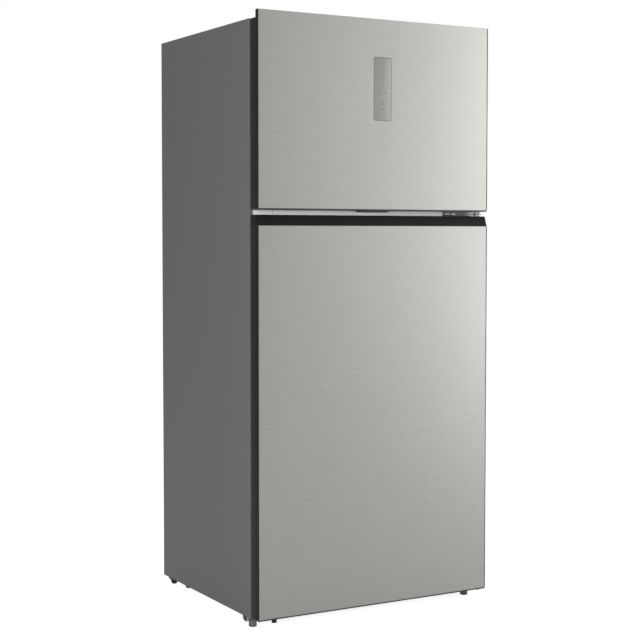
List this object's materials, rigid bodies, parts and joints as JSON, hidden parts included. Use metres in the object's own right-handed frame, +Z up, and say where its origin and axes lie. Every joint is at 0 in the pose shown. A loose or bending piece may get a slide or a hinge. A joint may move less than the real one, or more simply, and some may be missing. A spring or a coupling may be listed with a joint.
{
  "type": "top freezer refrigerator",
  "caption": "Tall top freezer refrigerator with right-hinged steel doors, flush touch panel, sloped black handle cap, drawers, shelves, ice maker and machine room.",
  "frame": {"origin": "on the floor under the centre of the footprint, doors closed", "axes": "+X to the right seen from the front, +Y from the front to the back, +Z up"},
  "size_m": [0.78, 0.664, 1.734],
  "materials": {
    "cabinet_paint": "satin dark grey paint on sheet steel",
    "back_steel": "plain zinc coated sheet",
    "door_steel": "fine horizontal brush, matt steel look",
    "door_side": "matt black paint",
    "black_plastic": "fine satin texture",
    "grey_plastic": "satin",
    "white_liner": "gloss vacuum formed",
    "foam": "rigid polyurethane foam",
    "gasket": "soft matt",
    "clear_plastic": "clear glossy",
    "shelf_glass": "clear toughened glass in plastic edges",
    "panel": "smooth satin touch panel",
    "hinge_steel": "zinc plated",
    "screw_steel": "bright zinc",
    "rubber": "matt",
    "compressor_black": "semi gloss black",
    "copper": "dull copper",
    "aluminium": "mill finish",
    "foot_grey": "satin",
    "roller_grey": "satin",
    "blue_plastic": "translucent blue"
  },
  "bodies": {
    "cabinet": {"side_panel_left": "cabinet_paint", "side_panel_right": "cabinet_paint", "top_panel": "cabinet_paint", "back_panel": "back_steel", "base_frame": "back_steel", "insulation_foam": "foam", "freezer_liner": "white_liner", "fridge_liner": "white_liner", "centre_rail": "white_liner", "compressor_tray": "back_steel", "compressor": "compressor_black", "compressor_grommets": "rubber", "evaporation_tray": "black_plastic", "machine_room_cover": "back_steel", "power_inlet": "black_plastic", "refrigerant_pipes": "copper", "evaporator": "aluminium", "evaporator_cover": "white_liner", "fan_motor": "grey_plastic", "defrost_heater": "aluminium", "freezer_shelf": "shelf_glass", "ice_maker_frame": "white_liner", "air_duct_cover": "white_liner", "fridge_shelves": "shelf_glass", "top_hinge": "hinge_steel", "top_hinge_cover": "grey_plastic", "middle_hinge": "hinge_steel", "bottom_hinge": "hinge_steel", "hinge_screws": "screw_steel", "support_peg": "black_plastic", "roller_brackets": "hinge_steel"},
    "freezer_door": {"freezer_door_skin": "door_steel", "freezer_door_side_trims": "door_side", "freezer_door_top_cap": "grey_plastic", "freezer_door_bottom_cap": "black_plastic", "freezer_door_grip": "black_plastic", "freezer_door_foam": "foam", "freezer_door_liner": "white_liner", "freezer_door_gasket": "gasket", "freezer_door_bins": "clear_plastic", "control_panel": "panel"},
    "fridge_door": {"fridge_door_skin": "door_steel", "fridge_door_side_trims": "door_side", "fridge_door_handle_cap": "black_plastic", "fridge_door_bottom_cap": "black_plastic", "fridge_door_foam": "foam", "fridge_door_liner": "white_liner", "fridge_door_gasket": "gasket", "fridge_door_bins": "clear_plastic"},
    "fan": {"fan_blade": "black_plastic"},
    "ice_tray": {"ice_tray": "clear_plastic", "ice_tray_knob": "clear_plastic"},
    "ice_bin": {"ice_bin": "clear_plastic"},
    "chiller_drawer": {"chiller_drawer": "clear_plastic"},
    "crisper_drawer": {"crisper_drawer": "clear_plastic"},
    "humidity_slider": {"humidity_slider": "blue_plastic"},
    "foot_left": {"levelling_foot_left": "foot_grey"},
    "foot_right": {"levelling_foot_right": "foot_grey"},
    "rollers_front": {"rollers_front": "roller_grey"},
    "rollers_rear": {"rollers_rear": "black_plastic"}
  },
  "joints": [
    {"name": "freezer_door_hinge", "type": "hinge", "parent": "cabinet", "child": "freezer_door", "pos_m": [0.374, -0.309, 1.45], "axis": [0, 0, 1], "range_deg": [0, 120]},
    {"name": "fridge_door_hinge", "type": "hinge", "parent": "cabinet", "child": "fridge_door", "pos_m": [0.374, -0.309, 0.6], "axis": [0, 0, 1], "range_deg": [0, 120]},
    {"name": "evaporator_fan_spin", "type": "hinge", "parent": "cabinet", "child": "fan", "pos_m": [0, 0.206, 1.542], "axis": [0, -1, 0], "continuous": true},
    {"name": "ice_tray_twist", "type": "hinge", "parent": "cabinet", "child": "ice_tray", "pos_m": [-0.2405, -0.1, 1.574], "axis": [0, -1, 0], "range_deg": [0, 120]},
    {"name": "ice_bin_slide", "type": "slide", "parent": "cabinet", "child": "ice_bin", "axis": [0, -1, 0], "range_m": [0, 0.16]},
    {"name": "chiller_drawer_slide", "type": "slide", "parent": "cabinet", "child": "chiller_drawer", "axis": [0, -1, 0], "range_m": [0, 0.24]},
    {"name": "crisper_drawer_slide", "type": "slide", "parent": "cabinet", "child": "crisper_drawer", "axis": [0, -1, 0], "range_m": [0, 0.16]},
    {"name": "humidity_slide", "type": "slide", "parent": "crisper_drawer", "child": "humidity_slider", "axis": [1, 0, 0], "range_m": [-0.014, 0.014]},
    {"name": "foot_left_screw", "type": "hinge", "parent": "cabinet", "child": "foot_left", "pos_m": [-0.373, -0.262, 0.01], "axis": [0, 0, 1], "continuous": true},
    {"name": "foot_right_screw", "type": "hinge", "parent": "cabinet", "child": "foot_right", "pos_m": [0.36, -0.262, 0.01], "axis": [0, 0, 1], "continuous": true},
    {"name": "front_rollers_spin", "type": "hinge", "parent": "cabinet", "child": "rollers_front", "pos_m": [0, -0.208, 0.012], "axis": [1, 0, 0], "continuous": true},
    {"name": "rear_rollers_spin", "type": "hinge", "parent": "cabinet", "child": "rollers_rear", "pos_m": [0, 0.308, 0.012], "axis": [1, 0, 0], "continuous": true}
  ],
  "couplings": [
    {"joint": "ice_bin_slide", "follows": "freezer_door_hinge", "m_per_rad": 0.07639},
    {"joint": "chiller_drawer_slide", "follows": "fridge_door_hinge", "m_per_rad": 0.11459},
    {"joint": "crisper_drawer_slide", "follows": "fridge_door_hinge", "m_per_rad": 0.07639}
  ]
}
